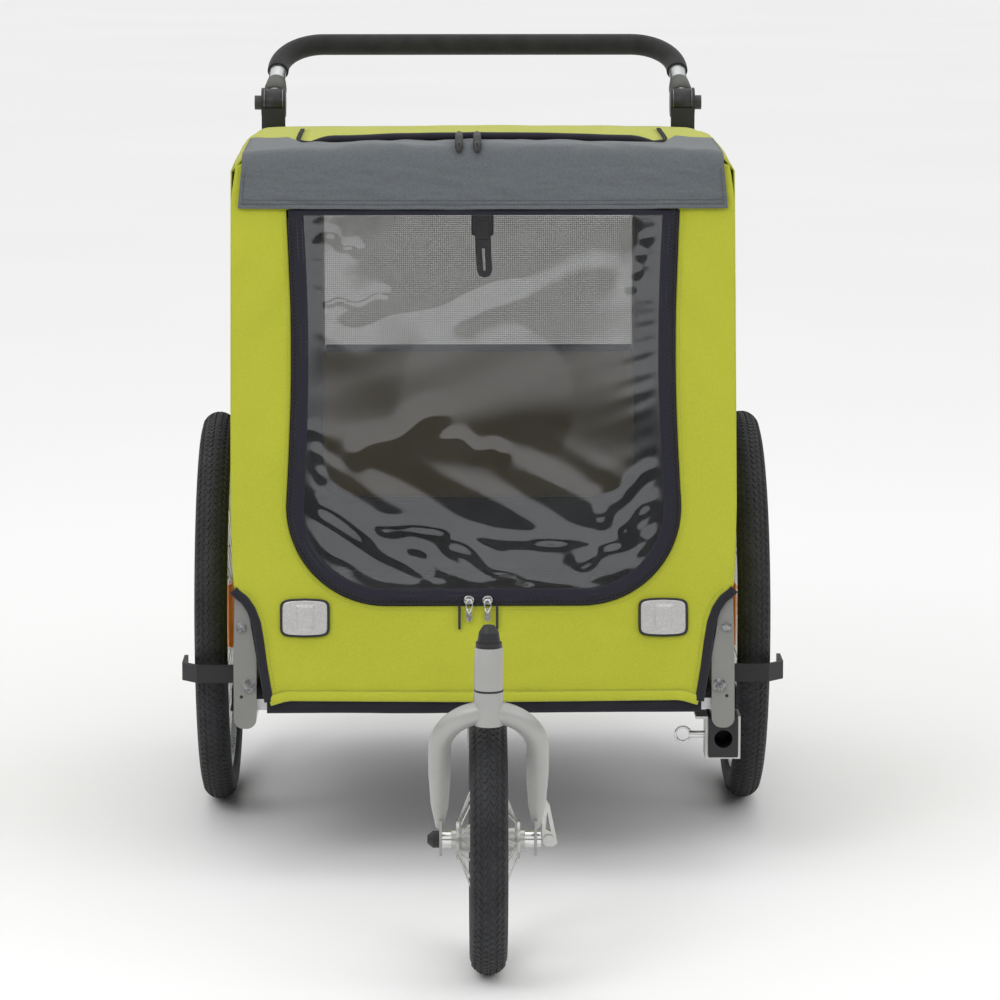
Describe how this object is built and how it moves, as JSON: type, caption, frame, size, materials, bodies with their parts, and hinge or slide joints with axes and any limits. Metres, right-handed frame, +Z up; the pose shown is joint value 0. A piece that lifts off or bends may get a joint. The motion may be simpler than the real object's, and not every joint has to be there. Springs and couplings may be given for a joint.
{
  "type": "child bicycle trailer",
  "caption": "Boxy fabric cabin on a tube frame with two side wheels, a swivelling front caster wheel, a clear zipped front door and a tilting push bar.",
  "frame": {"origin": "on the ground, at the middle of the trailer's length and width", "axes": "+X to the trailer's left side, +Y to its rear (push bar), +Z up; it rolls forward along -Y"},
  "size_m": [0.742, 1.5423, 0.9592],
  "materials": {
    "lime_fabric": "woven polyester, lime",
    "slate_fabric": "melange polyester, slate",
    "black_fabric": "black polyester and binding",
    "olive_fabric": "lime polyester, rear door",
    "mesh": "knitted mesh",
    "clear_pvc": "clear soft PVC",
    "bare_aluminium": "satin",
    "grey_paint": "light grey powder coat",
    "bright_steel": "bright plated",
    "zinc_steel": "zinc plated",
    "black_plastic": "moulded",
    "clear_reflector": "prismatic",
    "tyre_black": "fine ribbed tread",
    "foam": "foam grip",
    "floor_black": "stiff board, black cloth"
  },
  "bodies": {
    "frame": {"base_skirt": "black_fabric", "boom_sleeve": "black_plastic", "bumper_left": "black_plastic", "bumper_right": "black_plastic", "floor_board": "floor_black", "floor_rail_left": "bare_aluminium", "floor_rail_right": "bare_aluminium", "frame_bolts": "bright_steel", "front_boom": "grey_paint", "front_bracket_left": "grey_paint", "front_bracket_right": "grey_paint", "front_crossbar": "bare_aluminium", "front_flap": "slate_fabric", "front_panel": "lime_fabric", "front_reflectors": "clear_reflector", "handle_knuckle_left": "black_plastic", "handle_knuckle_right": "black_plastic", "rear_axle_pins": "zinc_steel", "rear_brackets": "bare_aluminium", "rear_crossbar": "bare_aluminium", "rear_panel": "lime_fabric", "roof_bar_front": "bare_aluminium", "roof_bar_rear": "bare_aluminium", "roof_panel": "lime_fabric", "side_hoop_left": "bare_aluminium", "side_hoop_right": "bare_aluminium", "side_mesh_left": "mesh", "side_mesh_right": "mesh", "side_panel_left": "lime_fabric", "side_panel_right": "lime_fabric", "socket_clevis": "zinc_steel", "tow_socket": "black_plastic"},
    "left_wheel": {"rear_left_tyre": "tyre_black", "rear_left_rim": "bare_aluminium", "rear_left_hub": "bright_steel"},
    "right_wheel": {"rear_right_tyre": "tyre_black", "rear_right_rim": "bare_aluminium", "rear_right_hub": "bright_steel"},
    "caster": {"caster_fork": "grey_paint", "caster_seal": "black_plastic", "head_cap": "black_plastic", "front_axle": "zinc_steel", "axle_nut": "black_plastic"},
    "caster_wheel": {"front_tyre": "tyre_black", "front_rim": "bare_aluminium", "front_hub": "bright_steel"},
    "cam_lever": {"quick_release_lever": "zinc_steel"},
    "push_bar": {"push_bar": "bare_aluminium", "push_bar_grip": "foam"},
    "left_button": {"handle_button_left": "black_plastic"},
    "right_button": {"handle_button_right": "black_plastic"},
    "door": {"front_door": "black_fabric", "front_window": "clear_pvc"},
    "door_pulls": {"front_zip_pulls": "bright_steel"},
    "back_door": {"rear_door": "olive_fabric"},
    "hatch": {"roof_hatch": "lime_fabric"},
    "hatch_pulls": {"hatch_zip_pulls": "black_plastic"},
    "strap": {"hand_strap": "black_fabric"},
    "tow_pin": {"tow_lock_pin": "zinc_steel"},
    "boom_pin": {"boom_lock_pin": "zinc_steel"}
  },
  "joints": [
    {"name": "left_wheel_spin", "type": "hinge", "parent": "frame", "child": "left_wheel", "pos_m": [0.337, 0.237, 0.25], "axis": [1, 0, 0], "continuous": true},
    {"name": "right_wheel_spin", "type": "hinge", "parent": "frame", "child": "right_wheel", "pos_m": [-0.337, 0.237, 0.25], "axis": [1, 0, 0], "continuous": true},
    {"name": "caster_swivel", "type": "hinge", "parent": "frame", "child": "caster", "pos_m": [0, -0.713, 0.36], "axis": [0, 0, 1], "continuous": true},
    {"name": "front_wheel_spin", "type": "hinge", "parent": "caster", "child": "caster_wheel", "pos_m": [0, -0.623, 0.1485], "axis": [1, 0, 0], "continuous": true},
    {"name": "quick_release", "type": "hinge", "parent": "caster", "child": "cam_lever", "pos_m": [0.0666, -0.623, 0.1485], "axis": [0, 1, 0], "range_deg": [0, 95]},
    {"name": "push_bar_tilt", "type": "hinge", "parent": "frame", "child": "push_bar", "pos_m": [0, 0.64, 0.872], "axis": [1, 0, 0], "range_deg": [-50, 60]},
    {"name": "left_button_press", "type": "slide", "parent": "frame", "child": "left_button", "axis": [-1, 0, 0], "range_m": [0, 0.002], "stiffness_N_per_m": 800, "springref_m": -0.002},
    {"name": "right_button_press", "type": "slide", "parent": "frame", "child": "right_button", "axis": [1, 0, 0], "range_m": [0, 0.002], "stiffness_N_per_m": 800, "springref_m": -0.002},
    {"name": "front_door_lift", "type": "hinge", "parent": "frame", "child": "door", "pos_m": [0, -0.07794, 0.78864], "axis": [-1, 0, 0], "range_deg": [0, 105]},
    {"name": "front_pulls_swing", "type": "hinge", "parent": "door", "child": "door_pulls", "pos_m": [0, -0.17913, 0.33333], "axis": [-1, 0, 0], "range_deg": [0, 90]},
    {"name": "rear_door_lift", "type": "hinge", "parent": "frame", "child": "back_door", "pos_m": [0, 0.6185, 0.798], "axis": [1, 0, 0], "range_deg": [0, 100]},
    {"name": "roof_hatch_lift", "type": "hinge", "parent": "frame", "child": "hatch", "pos_m": [0, 0.328, 0.8654], "axis": [-1, 0, 0], "range_deg": [0, 120]},
    {"name": "hatch_pulls_swing", "type": "hinge", "parent": "hatch", "child": "hatch_pulls", "pos_m": [0, -0.00804, 0.8737], "axis": [-1, 0, 0], "range_deg": [0, 150]},
    {"name": "strap_swing", "type": "hinge", "parent": "frame", "child": "strap", "pos_m": [0, -0.008, 0.848], "axis": [1, 0, 0], "range_deg": [-18, 60]},
    {"name": "tow_pin_slide", "type": "slide", "parent": "frame", "child": "tow_pin", "axis": [1, 0, 0], "range_m": [0, 0.014]},
    {"name": "boom_pin_pull", "type": "slide", "parent": "frame", "child": "boom_pin", "axis": [0, 0, -1], "range_m": [0, 0.018], "stiffness_N_per_m": 300, "springref_m": -0.01}
  ]
}
